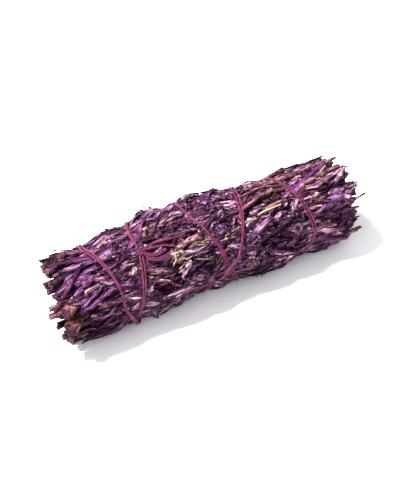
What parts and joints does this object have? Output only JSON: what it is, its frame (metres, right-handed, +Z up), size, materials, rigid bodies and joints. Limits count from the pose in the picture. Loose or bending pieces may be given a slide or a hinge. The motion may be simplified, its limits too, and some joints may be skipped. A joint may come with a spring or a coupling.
{
  "type": "smudge stick",
  "caption": "Bundle of dried purple herb sprigs, cut stems at one end and leaf tips at the other, bound along its length by a doubled pink cotton thread with a knot.",
  "frame": {"origin": "middle of the footprint of the lying bundle, on the surface it rests on", "axes": "+X along the bundle from the cut stems to the leaf tips, +Z up, away from the surface it lies on"},
  "size_m": [0.1102, 0.0322, 0.0284],
  "materials": {
    "herb_purple": "matte dried leaf and stem, dyed",
    "herb_plum": "matte dried leaf and stem, dyed",
    "herb_mauve": "matte dried leaf and stem, dyed",
    "herb_russet": "matte dried leaf and stem, dyed",
    "herb_lilac": "matte dried leaf and stem, dyed",
    "herb_tan": "matte dried leaf and stem, dyed",
    "herb_dusk": "matte dried leaf and stem, dyed",
    "thread": "twisted cotton, slight sheen"
  },
  "bodies": {
    "root": {"heart_sprig_01": "herb_purple", "heart_sprig_02": "herb_plum", "heart_sprig_03": "herb_mauve", "inner_sprig_01": "herb_russet", "inner_sprig_02": "herb_lilac", "inner_sprig_03": "herb_tan", "inner_sprig_04": "herb_dusk", "inner_sprig_05": "herb_purple", "inner_sprig_06": "herb_plum", "inner_sprig_07": "herb_mauve", "inner_sprig_08": "herb_russet", "inner_sprig_09": "herb_lilac", "middle_sprig_01": "herb_tan", "middle_sprig_02": "herb_dusk", "middle_sprig_03": "herb_purple", "middle_sprig_04": "herb_plum", "middle_sprig_05": "herb_mauve", "middle_sprig_06": "herb_russet", "middle_sprig_07": "herb_lilac", "middle_sprig_08": "herb_tan", "middle_sprig_09": "herb_dusk", "middle_sprig_10": "herb_purple", "middle_sprig_11": "herb_plum", "middle_sprig_12": "herb_mauve", "middle_sprig_13": "herb_russet", "middle_sprig_14": "herb_lilac", "middle_sprig_15": "herb_tan", "outer_sprig_01": "herb_dusk", "outer_sprig_02": "herb_purple", "outer_sprig_03": "herb_plum", "outer_sprig_04": "herb_mauve", "outer_sprig_05": "herb_russet", "outer_sprig_06": "herb_lilac", "outer_sprig_07": "herb_tan", "outer_sprig_08": "herb_dusk", "outer_sprig_09": "herb_purple", "outer_sprig_10": "herb_plum", "outer_sprig_11": "herb_mauve", "outer_sprig_12": "herb_russet", "outer_sprig_13": "herb_lilac", "outer_sprig_14": "herb_tan", "outer_sprig_15": "herb_dusk", "outer_sprig_16": "herb_purple", "outer_sprig_17": "herb_plum", "outer_sprig_18": "herb_mauve", "outer_sprig_19": "herb_russet", "outer_sprig_20": "herb_lilac", "outer_sprig_21": "herb_tan", "thread_strand_a": "thread", "thread_strand_b": "thread", "thread_knot": "thread", "thread_tail_long": "thread", "thread_tail_short": "thread", "thread_loop_upper": "thread", "thread_loop_lower": "thread"}
  },
  "joints": []
}
